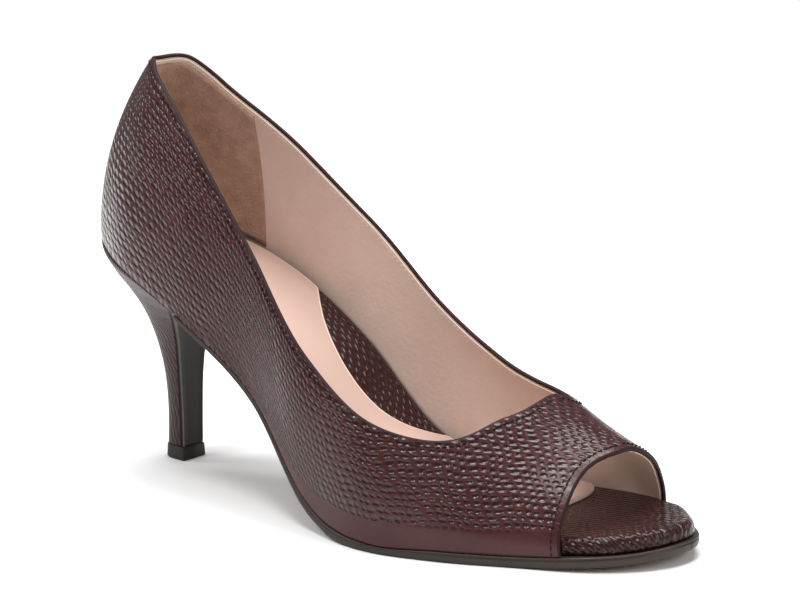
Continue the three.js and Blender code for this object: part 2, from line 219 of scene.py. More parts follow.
def bed_at(x, y):
    along = np.clip(x / last_length, 0, 1)
    climb = (heel_height - sole_thickness) * rise(along) + toe_spring * spring(along)
    return sole_thickness - tread_sink + climb + arch_tilt * tilt(along) * (y - axis_y(along))


def last_point(turn, up, side):
    along = along_of(turn)
    half = ball_width * (lateral_half(turn) if side == lateral else medial_half(turn))
    height = instep_height * crest(along)
    down = 1 - up
    out = half * (down**3 + 3 * down * down * up * belly(along) + 3 * down * up * up * shoulder(along))
    lift = height * (3 * down * down * up * lower_pull + 3 * down * up * up + up**3)
    climb = lift / back_height
    fade = np.maximum(0, 1 - along / lean_reach) ** 2
    x = along * last_length + fade * (back_lean * climb * climb - back_swell * climb * (1 - climb))
    y = axis_y(along) + side * out
    return np.stack([x, y, bed_at(along * last_length, y) + lift], -1)


probe = 1e-3


def skin_frame(turn, up, side):
    forward = (last_point(turn + probe, up, side) - last_point(turn - probe, up, side)) / (2 * probe)
    upward = (last_point(turn, up + probe, side) - last_point(turn, up - probe, side)) / (2 * probe)
    inward = np.cross(forward, upward) * side
    inward /= np.linalg.norm(inward, axis=-1, keepdims=True)
    return forward, upward, inward


print("heel seat is", round(float(bed_at(30.0, 0.0)), 1), "mm up")

# %% [markdown]
# ## The topline and the peep toe
# The topline is the edge where the foot goes in. It is one curve on the last: up the back,
# low at the waist on both sides, and square across the ridge at the throat. The peep toe
# is cut square across the front. Both are given by a few points: the collar's as a share
# along and a multiple of the back seam's height, the peep toe's as shares up and along.

# %% Edge curves on the last
lateral_collar = [
    (0.08, 1.077), (0.2, 1.04), (0.36, 0.906), (0.52, 0.921),
    (0.64, 0.862), (0.707, 0.86), (0.772, 1.285),
]
medial_collar = [
    (0.08, 1.035), (0.2, 0.935), (0.36, 0.854), (0.52, 0.876),
    (0.64, 1.002), (0.72, 1.085), (0.775, 1.274),
]
throat_at = 0.786
lateral_peep = [(0.0, 0.892), (0.33, 0.887), (0.66, 0.884)]
medial_peep = [(0.0, 0.883), (0.33, 0.888), (0.66, 0.902)]
peep_crown_at = 0.9
turn_weight = 2.2


def back_share():
    shares = np.linspace(0, 1, 4001)
    lifts = last_point(np.zeros_like(shares), shares, lateral)[:, 2] - bed_at(0.0, 0.0)
    return float(np.interp(back_height, lifts, shares))


def edge_curve(points, square_start):
    before = [(-points[1][0], points[1][1])] if square_start else []
    end = points[-2]
    path = np.array([*before, *points, (end[0], 2 - end[1])], float)
    steps = np.hypot(turn_weight * np.diff(path[:, 0]), np.diff(path[:, 1]))
    run = np.concatenate([[0], np.cumsum(steps)])
    turn = smooth(run, path[:, 0])
    up = smooth(run, path[:, 1])
    first = run[len(before)]
    final = run[-2]

    def curve(share):
        at = first + (final - first) * np.asarray(share, float)
        return turn(at), up(at)

    return curve


def collar_curve(side):
    rows = lateral_collar if side == lateral else medial_collar
    back = back_share()
    points = [(float(turn_of(along)), height * back) for along, height in rows]
    return edge_curve([(0.0, back), *points, (float(turn_of(throat_at)), 1.0)], True)


def peep_curve(side):
    rows = lateral_peep if side == lateral else medial_peep
    points = [(float(turn_of(along)), up) for up, along in rows]
    return edge_curve([*points, (float(turn_of(peep_crown_at)), 1.0)], False)


print("back seam ends at share", round(back_share(), 3))

# %% [markdown]
# An edge of folded leather is round, so the flat skin has to stop a little short of the
# topline and leave room for the fold. This helper moves a point of the skin away from its
# edge by a distance in millimetres, and says which way the edge lies. It solves for the two
# steps, in turn and in up, that add to that distance on the curved skin.


# %% Step back from an edge
def edge_frame(curve, shares, side, step_back, edge_sign):
    turn, up = curve(shares)
    ahead = last_point(*curve(np.minimum(shares + probe, 1)), side)
    behind = last_point(*curve(np.maximum(shares - probe, 0)), side)
    run = ahead - behind
    run /= np.linalg.norm(run, axis=-1, keepdims=True)
    forward, upward, inward = skin_frame(turn, up, side)
    toward = np.cross(inward, run) * edge_sign
    toward /= np.linalg.norm(toward, axis=-1, keepdims=True)
    ff = (forward * forward).sum(-1)
    fu = (forward * upward).sum(-1)
    uu = (upward * upward).sum(-1)
    tf = (forward * toward).sum(-1)
    tu = (upward * toward).sum(-1)
    flat = ff * uu - fu * fu
    flat = np.where(np.abs(flat) < 1e-6, 1e-6, flat)
    turn_step = (uu * tf - fu * tu) / flat
    up_step = (ff * tu - fu * tf) / flat
    return turn - step_back * turn_step, up - step_back * up_step, toward


def stepped_curve(curve, side, step_back, edge_sign, from_back_seam):
    shares = np.linspace(0, 1, 241)
    turn, up, _ = edge_frame(curve, shares, side, step_back, edge_sign)
    first = turn if from_back_seam else up
    first[0] = 0.0
    up[-1] = 1.0

    def curve_in(share):
        return np.interp(share, shares, turn), np.interp(share, shares, up)

    return curve_in


collar_sign = {lateral: -1, medial: 1}
peep_sign = {lateral: 1, medial: -1}
for side in (lateral, medial):
    _, _, toward = edge_frame(collar_curve(side), np.array([0.4]), side, 1.0, collar_sign[side])
    _, _, ahead = edge_frame(peep_curve(side), np.array([0.4]), side, 1.0, peep_sign[side])
    print("edge directions", side, np.round(toward[0], 2), np.round(ahead[0], 2))

# %% [markdown]
# ## From tables to meshes
# A skin is a grid of points, so these helpers work on grids. One numbers a grid's points and
# keeps them, one joins neighbours with faces, and one makes a mesh object from the result,
# with a map in real millimetres, so that a pattern can be drawn at its true size. Drawing
# faces by hand would be slower, and could not follow a changed size.

# %% Mesh helpers
map_unit = 100


def quads_of(numbers):
    corners = [numbers[:-1, :-1], numbers[:-1, 1:], numbers[1:, 1:], numbers[1:, :-1]]
    return np.stack(corners, -1).reshape(-1, 4)


def new_work():
    return {"points": [], "map": [], "band": [], "faces": [], "slots": []}


def put_grid(work, grid, places, band):
    first = sum(len(block) for block in work["points"])
    work["points"].append(grid.reshape(-1, 3))
    work["map"].append(places.reshape(-1, 2))
    work["band"].append(np.broadcast_to(band, grid.shape[:2]).ravel())
    return first + np.arange(grid[..., 0].size).reshape(grid.shape[:2])


def join_grid(work, numbers, side, slot, turned):
    quads = quads_of(numbers)
    if (side == medial) == turned:
        quads = quads[:, ::-1]
    work["faces"].append(quads)
    work["slots"].append(np.full(len(quads), slot))


def make_piece(name, points, faces, materials, cad_slot, places=None, slots=None, band=None):
    moved = (np.asarray(points, float) - np.array([*middle_of_shoe, 0.0])) * millimetre
    mesh = bpy.data.meshes.new(name)
    mesh.from_pydata(moved.tolist(), [], [list(map(int, face)) for face in faces])
    for material in materials:
        mesh.materials.append(material)
    if slots is not None:
        mesh.polygons.foreach_set("material_index", np.asarray(slots, np.int32))
    if places is not None:
        corners = np.empty(len(mesh.loops), np.int32)
        mesh.loops.foreach_get("vertex_index", corners)
        flat = np.asarray(places, float)[corners] / map_unit
        mesh.uv_layers.new(name="leather_mm").data.foreach_set("uv", flat.astype(np.float32).ravel())
    if band is not None:
        mark = mesh.attributes.new("smooth_band", "FLOAT", "POINT")
        mark.data.foreach_set("value", np.asarray(band, np.float32))
    mesh.polygons.foreach_set("use_smooth", np.ones(len(mesh.polygons), bool))
    mesh.update()
    piece = bpy.data.objects.new(name, mesh)
    bpy.context.collection.objects.link(piece)
    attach(piece, "root")
    print(name, len(mesh.vertices), "points,", len(mesh.polygons), "faces")
    return piece


def finish_work(name, work, materials, cad_slot):
    joined = {key: np.concatenate(blocks) for key, blocks in work.items()}
    points, faces, places = joined["points"], joined["faces"], joined["map"]
    return make_piece(name, points, faces, materials, cad_slot, places, joined["slots"], joined["band"])


print("one unit of the map is", map_unit, "mm")


# %% [markdown]
# Sole, footbed, sock and heel are all stacks of closed outlines. A loft joins each outline
# to the next one and closes both ends with strips across. It also says which level each face
# belongs to, so that an edge can get another finish than a top.


# %% Loft helper
def loft(loops, maps):
    count = len(loops[0])
    levels = len(loops)
    numbers = np.arange(levels * count).reshape(levels, count)
    sides = quads_of(np.concatenate([numbers, numbers[:, :1]], axis=1))
    i = np.arange(count // 2 - 1)
    across = count - 1 - i
    bottom = np.stack([across, across - 1, i + 1, i], -1)
    top = numbers[-1, 0] + bottom[:, ::-1]
    level_of = np.repeat(np.arange(levels - 1), count)
    level_of = np.concatenate([level_of, np.full(len(bottom), -1), np.full(len(top), levels)])
    return np.concatenate(loops), np.concatenate(maps), np.concatenate([sides, bottom, top]), level_of


square = np.array([[0.0, 0.0, 0.0], [1.0, 0.0, 0.0], [1.0, 1.0, 0.0], [0.0, 1.0, 0.0]])
print("a lofted cube has", len(loft([square, square + (0, 0, 1)], [square, square])[2]), "faces")

# %% [markdown]
# ## Leather, suede and rubber
# Colours are picked as sRGB hex values, as a leather chart would give them, and one
# function turns them to the linear values that the renderer works in. Another function
# adds a node with its settings and links, so that each finish reads as a list of steps.


# %% Colour and node helpers
def linear(hex_value):
    channels = [int(hex_value[i : i + 2], 16) / 255 for i in (1, 3, 5)]
    return [c / 12.92 if c <= 0.04045 else ((c + 0.055) / 1.055) ** 2.4 for c in channels] + [1.0]


def add(tree, kind, settings=(), inputs=()):
    node = tree.nodes.new("ShaderNode" + kind)
    for key, value in dict(settings).items():
        setattr(node, key, value)
    for key, value in inputs.items() if isinstance(inputs, dict) else enumerate(inputs):
        if isinstance(value, bpy.types.Node):
            value = value.outputs[0]
        if isinstance(value, bpy.types.NodeSocket):
            tree.links.new(node.inputs[key], value)
        else:
            node.inputs[key].default_value = value
    return node


def new_finish(name):
    finish = bpy.data.materials.new(name)
    finish.use_nodes = True
    finish.node_tree.nodes.clear()
    return finish, finish.node_tree


print("burgundy in linear light:", [round(v, 3) for v in linear("#3C1B1C")[:3]])

# %% [markdown]
# ## Pressed scales
# A heated plate presses rows of small round scales into the leather. The rows are drawn on
# the millimetre map: the map is divided by the pitch, so that each cell holds one scale, and
# every next row is shifted by half a scale. A slow noise lets the rows drift, and a value by
# chance for each cell moves and sizes its scale, because no plate and no hide is perfect.
# The result is a bowl: 0 in the middle of a pit and 1 on the net between the pits.

# %% Rows of pressed scales
# per map unit of 100 mm, so the rows sway over 11 mm
sway_scale = 9.0
# the rest in shares of one scale
row_drift = 0.9
scale_wander = 0.2
scale_lean = 0.25
smallest_scale = 0.85
scale_spread = 0.35


def pressed_scales(tree, pitch_along, row_height, width, tallness):
    flat = add(tree, "UVMap", {"uv_map": "leather_mm"})
    on_map = {"noise_dimensions": "2D"}
    sway = add(tree, "TexNoise", on_map, {"Vector": flat, "Scale": sway_scale, "Detail": 1.0})
    drift = add(tree, "Math", {"operation": "MULTIPLY_ADD"}, [sway, row_drift, -row_drift / 2])
    per_cell = (map_unit / pitch_along, map_unit / row_height, 0.0)
    cells = add(tree, "VectorMath", {"operation": "MULTIPLY_ADD"}, [flat, per_cell, drift])
    place = add(tree, "SeparateXYZ", (), [cells])
    row = add(tree, "Math", {"operation": "FLOOR"}, [place.outputs[1]])
    shifted = add(tree, "Math", {"operation": "MULTIPLY_ADD"}, [row, 0.5, place.outputs[0]])
    bricks = add(tree, "CombineXYZ", (), [shifted, place.outputs[1]])
    cell = add(tree, "VectorMath", {"operation": "FLOOR"}, [bricks])
    within = add(tree, "VectorMath", {"operation": "FRACTION"}, [bricks])
    chance = add(tree, "TexWhiteNoise", on_map, [cell]).outputs["Color"]
    wander = (scale_wander, scale_wander, 0.0)
    moved = add(tree, "VectorMath", {"operation": "MULTIPLY_ADD"}, [chance, wander, within])
    middle = 0.5 + scale_wander / 2
    centred = add(tree, "VectorMath", {"operation": "SUBTRACT"}, [moved, (middle, middle, 0.0)])
    offset = add(tree, "SeparateXYZ", (), [centred])
    across, upward = offset.outputs[0], offset.outputs[1]
    leant = add(tree, "Math", {"operation": "MULTIPLY_ADD"}, [upward, scale_lean, across])
    oval = add(tree, "CombineXYZ", (), [leant, upward])
    rounded = add(tree, "VectorMath", {"operation": "DIVIDE"}, [oval, (width, tallness, 1.0)])
    radius = add(tree, "VectorMath", {"operation": "LENGTH"}, [rounded]).outputs["Value"]
    tint = add(tree, "SeparateColor", (), [chance]).outputs[2]
    size = add(tree, "Math", {"operation": "MULTIPLY_ADD"}, [tint, scale_spread, smallest_scale])
    share = add(tree, "Math", {"operation": "DIVIDE"}, [radius, size])
    inside = add(tree, "Math", {"operation": "MINIMUM"}, [share, 1.0])
    bowl = add(tree, "Math", {"operation": "MULTIPLY"}, [inside, inside])
    return bowl, tint, flat


print("rows drift by up to", row_drift / 2, "of a scale")

# %% [markdown]
# ## The embossed calfskin
# The real leather is chrome-tanned calfskin, dyed burgundy brown, pressed and then
# lacquered. The pits are given a darker colour than the net, which is painted shade in the
# recesses. The lacquer pools in the pits, so each pit is glossy and its lip catches a small
# bright light, while the net between stays satin. A fine pore grain of about a third of a
# millimetre breaks up the gloss of the net. Leather and lacquer both have an index of
# refraction of about 1.5.

# %% Embossed leather
# per map unit of 100 mm: clouds of dye 17 mm wide, and pores of 0.4 mm
cloud_scale = 6.0
pore_scale = 260.0
pore_share = 0.10
satin_coat = 0.05
cloudy_gloss = 0.16


def leather_finish(
    name, pitch_along, row_height, width, tallness, depth, net, pit, gloss, lacquer, band_mark
):
    finish, tree = new_finish(name)
    raised, tint, flat = pressed_scales(tree, pitch_along, row_height, width, tallness)
    if band_mark:
        band = add(tree, "Attribute", {"attribute_name": "smooth_band"}).outputs["Fac"]
        raised = add(tree, "Math", {"operation": "MAXIMUM"}, [raised, band])
    noise = {"noise_dimensions": "2D"}
    cloud = add(tree, "TexNoise", noise, {"Vector": flat, "Scale": cloud_scale, "Detail": 4.0})
    grain = add(tree, "TexNoise", noise, {"Vector": flat, "Scale": pore_scale, "Detail": 3.0})
    mix = {"data_type": "RGBA"}
    ground = add(tree, "Mix", mix, {0: cloud, 6: linear(net[0]), 7: linear(net[1])}).outputs[2]
    # painted shade: the pits take a darker colour than the net between them
    painted_pit_shade = add(tree, "Mix", mix, {0: tint, 6: linear(pit[0]), 7: linear(pit[1])}).outputs[2]
    colour = add(tree, "Mix", mix, {0: raised, 6: painted_pit_shade, 7: ground}).outputs[2]
    height = add(tree, "Math", {"operation": "MULTIPLY_ADD"}, [grain, pore_share, raised.outputs[0]])
    bump = add(tree, "Bump", (), {"Strength": 1.0, "Distance": depth * millimetre, "Height": height})
    rough = add(tree, "Math", {"operation": "MULTIPLY_ADD"}, [cloud, cloudy_gloss, gloss - 0.05])
    pooled = add(tree, "Math", {"operation": "MULTIPLY_ADD"}, [raised, -lacquer, lacquer + satin_coat])
    body = add(tree, "BsdfPrincipled", (), {
        "Base Color": colour, "Roughness": rough, "IOR": 1.5, "Specular IOR Level": 0.22, "Normal": bump,
        "Coat Weight": pooled, "Coat Roughness": 0.1, "Coat IOR": 1.5, "Coat Normal": bump,
    })
    add(tree, "OutputMaterial", (), [body])
    return finish


print("pores of", round(map_unit / pore_scale, 2), "mm, clouds of", round(map_unit / cloud_scale), "mm")

# %% [markdown]
# Three pieces are cut from this skin. On the upper one scale is 2.8 mm long in rows of
# 2.05 mm. On the heel the cover is stretched tall and tight, so the scales are narrow, long
# and shallow, and less lacquer stays in them. The footbed's are a little longer. The heel's
# and the footbed's copies are coloured darker than the upper's, as painted shade under the
# shoe and inside it, and all three darken their pits as painted shade.

# %% Embossed finishes
upper_leather = leather_finish(
    "burgundy_embossed_calf", 2.8, 2.05, 0.46, 0.46, 0.3,
    net=("#3C1B1C", "#482627"), pit=("#150607", "#210C0D"), gloss=0.23, lacquer=0.55, band_mark=True,
)
# painted shade: a darker copy of the upper's leather for the heel under the shoe
heel_leather = leather_finish(
    "burgundy_heel_cover_painted_shade", 1.9, 3.6, 0.36, 0.46, 0.18,
    net=("#2F1416", "#391B1D"), pit=("#160809", "#200D0E"), gloss=0.45, lacquer=0.1, band_mark=False,
)
# painted shade: a darker copy of the upper's leather for the footbed inside the shoe
footbed_leather = leather_finish(
    "burgundy_footbed_calf_painted_shade", 3.0, 2.0, 0.44, 0.40, 0.32,
    net=("#2A0F11", "#331416"), pit=("#170708", "#210B0C"), gloss=0.23, lacquer=0.3, band_mark=False,
)
print("embossed finishes:", upper_leather.name, heel_leather.name, footbed_leather.name)

# %% [markdown]
# ## Plain leathers, thread and rubber
# The other finishes differ in colour, in how cloudy the dye took, in the size of their grain
# and in gloss, so one function makes them all. The grain sizes are real ones: a pore is
# under a millimetre, a lining's wrinkles are coarser. A thread's twist is finer than the
# render can show, so it is drawn a little coarse. Leather, wax, nylon and polyurethane all
# have an index of refraction near 1.5.


# %% Plain finish
def plain_finish(
    name, light, dark, roughness, grain_mm, depth, cloud_mm=12.0, sheen=0.0, coat=0.0, shine=0.4
):
    finish, tree = new_finish(name)
    place = add(tree, "TexCoord").outputs["Object"]
    cloud = add(tree, "TexNoise", (), {"Vector": place, "Scale": 1000 / cloud_mm, "Detail": 5.0})
    grain = add(tree, "TexNoise", (), {
        "Vector": place, "Scale": 1000 / grain_mm, "Detail": 4.0, "Roughness": 0.6,
    })
    mottle = add(tree, "Math", {"operation": "MULTIPLY"}, [cloud, 0.7])
    share = add(tree, "Math", {"operation": "MULTIPLY_ADD"}, [grain, 0.3, mottle])
    shades = {0: share, 6: linear(dark), 7: linear(light)}
    colour = add(tree, "Mix", {"data_type": "RGBA"}, shades).outputs[2]
    bump = add(tree, "Bump", (), {"Strength": 1.0, "Distance": depth * millimetre, "Height": grain})
    rough = add(tree, "Math", {"operation": "MULTIPLY_ADD"}, [cloud, 0.12, roughness - 0.06])
    body = add(tree, "BsdfPrincipled", (), {
        "Base Color": colour, "Roughness": rough, "IOR": 1.5, "Specular IOR Level": shine, "Normal": bump,
        "Sheen Weight": sheen, "Coat Weight": coat, "Coat Roughness": 0.2,
    })
    add(tree, "OutputMaterial", (), [body])
    return finish


# Vegetable-tanned goat lining, drum dyed and left uncoated: soft, pale and nearly matte.
lining_leather = plain_finish("taupe_lining_leather", "#DFCABD", "#C8B0A3", 0.6, 1.6, 0.12)
# Split cowhide suede, buffed: its nap lies in patches and has a soft sheen at the edges.
heel_suede = plain_finish(
    "tan_heel_suede", "#CBA58C", "#6B4B39", 0.95, 0.9, 0.35, cloud_mm=4.0, sheen=0.4
)
# Pigment-coated sheep leather: even in colour, with the light sheen of its coat.
sock_leather = plain_finish(
    "rose_beige_sock_leather", "#C4A89B", "#B6988C", 0.55, 0.8, 0.05, cloud_mm=20
)
# Raw leather where a knife has cut it: the undyed cream core shows.
cut_edge = plain_finish("cream_cut_edge", "#EBDCCB", "#DCC6B2", 0.8, 0.4, 0.04)
# The calfskin where it folds round an edge: skived thin and rubbed matte, its burgundy
# made darker as painted shade for the gap at the topline.
folded_edge = plain_finish("burgundy_folded_edge_painted_shade", "#2C1316", "#1E0B0D", 0.6, 0.7, 0.06, shine=0.2)
# Sole leather, trimmed, inked and waxed on a wheel: dark with a satin shine.
sole_edge = plain_finish("satin_sole_edge", "#382F2A", "#2A231F", 0.38, 0.6, 0.04, shine=0.3)
# The sole's underside, buffed and stained: brown and duller than its edge.
sole_bottom = plain_finish("brown_sole_bottom", "#6A5548", "#54433A", 0.5, 1.2, 0.06)
# Smooth calf on the heel's front: a dark grey-brown made nearly black as painted shade,
# with little shine.
breast_leather = plain_finish("breast_leather_painted_shade", "#26221E", "#1B1815", 0.45, 0.9, 0.03, shine=0.2)
# The same leather at its trimmed sides, where the cut shows lighter under a wax.
# The strip's rounded lips down each side: a lighter colour as painted highlight, under a thin wax coat.
breast_lip_highlight = plain_finish("breast_lip_painted_highlight", "#6B625A", "#564D46", 0.4, 0.6, 0.03, coat=0.2)
# Moulded polyurethane: hard, black and matte from the mould.
top_piece_rubber = plain_finish("black_top_piece", "#2A2624", "#1C1918", 0.6, 0.5, 0.05)
# Bonded nylon thread, twisted and waxed, in the upper's and in the lining's colour.
dark_thread = plain_finish("burgundy_thread", "#1C0B0C", "#120707", 0.7, 0.3, 0.05, cloud_mm=3, shine=0.2)
cream_thread = plain_finish("cream_thread", "#D9C4B2", "#BFA692", 0.7, 0.3, 0.05, cloud_mm=3)
print("finishes:", len(bpy.data.materials))

# %% [markdown]
# ## The upper
# The upper is one skin of leather, shaped over the last and folded over at the topline and
# at the peep toe. It is drawn here as columns that rise from the feather line, where it
# meets the sole, to the topline or to the ridge. Columns that follow the real edges need no
# cutting afterwards, so the edges come out clean.

# %% Columns of the upper
leather_thickness = 1.5
fold_radius = leather_thickness / 2
collar_columns = 220
vamp_columns = 90
upper_rows = 48
peep_fade = 4
even_feet_from = int(collar_columns * 0.8)


def side_grid(side, step_back):
    collar = stepped_curve(collar_curve(side), side, step_back, collar_sign[side], True)
    peep = stepped_curve(peep_curve(side), side, step_back, peep_sign[side], False)
    throat = float(collar(1.0)[0])
    crown = float(peep(1.0)[0])
    foot = float(peep(0.0)[0])
    columns = collar_columns + vamp_columns
    top_turn = np.empty(columns + 1)
    top_up = np.ones(columns + 1)
    on_collar = slice(0, collar_columns + 1)
    top_turn[on_collar], top_up[on_collar] = collar(np.linspace(0, 1, collar_columns + 1))
    top_turn[collar_columns:] = np.linspace(throat, crown, vamp_columns + 1)
    foot_turn = top_turn * foot / crown
    foot_turn[even_feet_from:] = np.linspace(foot_turn[even_feet_from], foot, columns + 1 - even_feet_from)
    share = np.linspace(0, 1, upper_rows + 1)[None, :]
    peep_turn, peep_up = peep(share)
    pull = ((np.arange(columns + 1) / columns) ** peep_fade)[:, None]
    off = peep_turn - (foot + (crown - foot) * share)
    turn = foot_turn[:, None] + (top_turn - foot_turn)[:, None] * share + pull * off
    up = share * top_up[:, None] + pull * (peep_up - share)
    return turn, up


def inward_at(turn, up, side):
    return skin_frame(np.maximum(turn, probe), np.clip(up, probe, 1 - probe), side)[2]


def skin_points(turn, up, side, depth):
    return last_point(turn, up, side) + inward_at(turn, up, side) * depth


for side in (lateral, medial):
    turn, up = side_grid(side, fold_radius)
    print("upper grid", turn.shape, "turns", round(float(turn.min()), 3), round(float(turn.max()), 3))

# %% [markdown]
# The millimetre map of the upper is measured along the skin itself: across is the way
# along the shoe, and up is the way from the feather line. So a scale keeps its size, also
# where the skin bends over the toes. The scales on the back quarter are a little larger on
# the real shoe, so the map runs slower there.

# %% Millimetre map of the last
map_turns = np.linspace(0, 1, 241)
map_ups = np.linspace(0, 1, 121)
map_belt = 0.45
coarse_back = 0.84
coarse_until = 110.0
way_along = {}
way_up = {}
for side in (lateral, medial):
    grid = last_point(map_turns[:, None] + 0 * map_ups, 0 * map_turns[:, None] + map_ups, side)
    steps = np.linalg.norm(np.diff(grid, axis=0), axis=-1)
    way_along[side] = np.pad(np.cumsum(steps, axis=0), ((1, 0), (0, 0)))
    rises = np.linalg.norm(np.diff(grid, axis=1), axis=-1)
    way_up[side] = np.pad(np.cumsum(rises, axis=1), ((0, 0), (1, 0)))


def read_map(table, turn, up):
    i = np.clip(turn, 0, 1) * (len(map_turns) - 1)
    j = np.clip(up, 0, 1) * (len(map_ups) - 1)
    i0 = np.minimum(i.astype(int), len(map_turns) - 2)
    j0 = np.minimum(j.astype(int), len(map_ups) - 2)
    low = table[i0, j0] * (1 - i + i0) + table[i0 + 1, j0] * (i - i0)
    high = table[i0, j0 + 1] * (1 - i + i0) + table[i0 + 1, j0 + 1] * (i - i0)
    return low * (1 - j + j0) + high * (j - j0)


def flat_place(turn, up, side):
    along = read_map(way_along[side], turn, 0 * up + map_belt)
    near_back = np.minimum(along, coarse_until)
    size_here = coarse_back + (1 - coarse_back) * near_back / coarse_until
    height = read_map(way_up[side], turn, up)
    if side == medial:
        ridge = 0 * up + 1
        height = read_map(way_up[lateral], turn, ridge) + read_map(way_up[medial], turn, ridge) - height
    along = along - (1 - coarse_back) * (near_back - near_back**2 / (2 * coarse_until))
    return np.stack([along, height * size_here], -1)


girth = way_up[lateral][150, -1] + way_up[medial][150, -1]
print("girth over the ball:", round(float(girth)), "mm")

# %% [markdown]
# A folded edge is half a tube: the outer face runs up to it, the fold goes round, and the
# inner face runs back down. Both ends of each ring sit on grids that are already there, so
# the skin is closed and has its real thickness.

# %% Build a folded skin
fold_steps = 10
inner_rows = np.unique(np.linspace(0, upper_rows, 13).astype(int))
outer_slot, inner_slot, edge_slot = 0, 1, 2


def add_fold(work, side, turn, up, toward, depth, radius, outer_edge, inner_edge, turned):
    inward = inward_at(turn, up, side)[:, None]
    base = last_point(turn, up, side)[:, None] + inward * (depth + radius)
    angles = np.linspace(0, np.pi, fold_steps + 1)[1:-1]
    ring = base - inward * radius * np.cos(angles)[None, :, None]
    ring = ring + toward[:, None] * radius * np.sin(angles)[None, :, None]
    places = np.repeat(flat_place(turn, up, side)[:, None], len(angles), axis=1)
    places[:, :, 1] += radius * angles
    numbers = put_grid(work, ring, places, 1.0)
    numbers = np.concatenate([outer_edge[:, None], numbers, inner_edge[:, None]], axis=1)
    join_grid(work, numbers, side, edge_slot, turned)


def add_half(work, side, depth, thickness, edge_back, band_of):
    radius = thickness / 2
    turn, up = side_grid(side, edge_back + radius)
    places = flat_place(turn, up, side)
    face = skin_points(turn, up, side, depth)
    face[:, 0, 2] = np.maximum(face[:, 0, 2], bed_at(face[:, 0, 0], face[:, 0, 1]))
    back = skin_points(turn[:, inner_rows], up[:, inner_rows], side, depth + thickness)
    back[:, 0, 2] = bed_at(back[:, 0, 0], back[:, 0, 1])
    outer = put_grid(work, face, places, band_of(turn, up, side))
    inner = put_grid(work, back, places[:, inner_rows], 1.0)
    join_grid(work, outer, side, outer_slot, False)
    join_grid(work, inner, side, inner_slot, True)
    join_grid(work, np.stack([inner[:, 0], outer[:, 0]], axis=1), side, inner_slot, False)

    top = slice(0, collar_columns + 1)
    shares = np.linspace(0, 1, collar_columns + 1)
    toward = edge_frame(collar_curve(side), shares, side, 0.0, collar_sign[side])[2]
    toward[-1, 1] = 0
    add_fold(
        work, side, turn[top, -1], up[top, -1], toward, depth, radius, outer[top, -1], inner[top, -1], False
    )
    shares = np.linspace(0, 1, upper_rows + 1)[inner_rows]
    toward = edge_frame(peep_curve(side), shares, side, 0.0, peep_sign[side])[2]
    add_fold(
        work, side, turn[-1, inner_rows], up[-1, inner_rows], toward, depth, radius,
        outer[-1, inner_rows], inner[-1], True,
    )


def skin_shell(name, depth, thickness, edge_back, materials, band_of, cad_slot):
    work = new_work()
    for side in (lateral, medial):
        add_half(work, side, depth, thickness, edge_back, band_of)
    return finish_work(name, work, materials, cad_slot)


print("a fold takes", fold_steps, "steps round a radius of", fold_radius, "mm")

# %% [markdown]
# ## Leather outside, lining inside
# Near the toe the sole's edge pulls the leather tight and the plate leaves a smooth band
# there. A strip along the peep toe is pressed nearly flat by its seam. Both are marked on
# the mesh, and the finish fades its scales out where the mark is high. The lining is a
# second, thinner skin inside the first. It stops short of the fold, which leaves the fold
# showing as a rim round the topline, coloured dark as painted shade.

# %% The leather skin and its lining
band_top = 8.0
band_from = 0.38
band_full = 0.54
folded_strip = 2.6
strip_strength = 0.75


def upper_band(turn, up, side):
    height = read_map(way_up[side], turn, up)
    top = band_top * np.clip((along_of(turn) - band_from) / (band_full - band_from), 0, 1)
    pulled = np.clip((top - height) / 2.5 + 0.5, 0, 1)
    edge_turn, edge_up = peep_curve(side)(np.linspace(0, 1, 101))
    at_edge = np.interp(up, edge_up, edge_turn)
    behind = read_map(way_along[side], at_edge, up) - read_map(way_along[side], turn, up)
    strip = strip_strength * np.clip((folded_strip - behind) / 0.6 + 0.5, 0, 1)
    return np.maximum(pulled, strip)


def no_band(turn, up, side):
    return 0 * turn


upper_skin = skin_shell(
    "upper_leather", 0.0, leather_thickness, 0.0,
    [upper_leather, lining_leather, folded_edge], upper_band, "embossed_leather",
)
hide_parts("upper")
lining_thickness = 0.4
lining_depth = leather_thickness + 0.1
lining_back = 1.1
skin_shell(
    "upper_lining", lining_depth, lining_thickness, lining_back,
    [lining_leather, lining_leather, cut_edge], no_band, "sock_leather",
)
low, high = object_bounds()
print("visual box:", [round(1000 * (b - a), 1) for a, b in zip(low, high)], "mm")

# %% [markdown]
# ## The heel counter
# A patch of suede is glued inside the back, flesh side out, so that the heel doesn't slip.
# Its front edge is a straight raw seam. It is the lining's own surface, moved in by the
# lining's thickness, so it lies on it without a gap.

# %% Suede counter
counter_reach = 0.205
counter_thickness = 0.35
counter_sunk = 0.05
counter_top_back = 2.6
counter_foot_up = 0.055
counter_rows = 24
counter_columns = 70


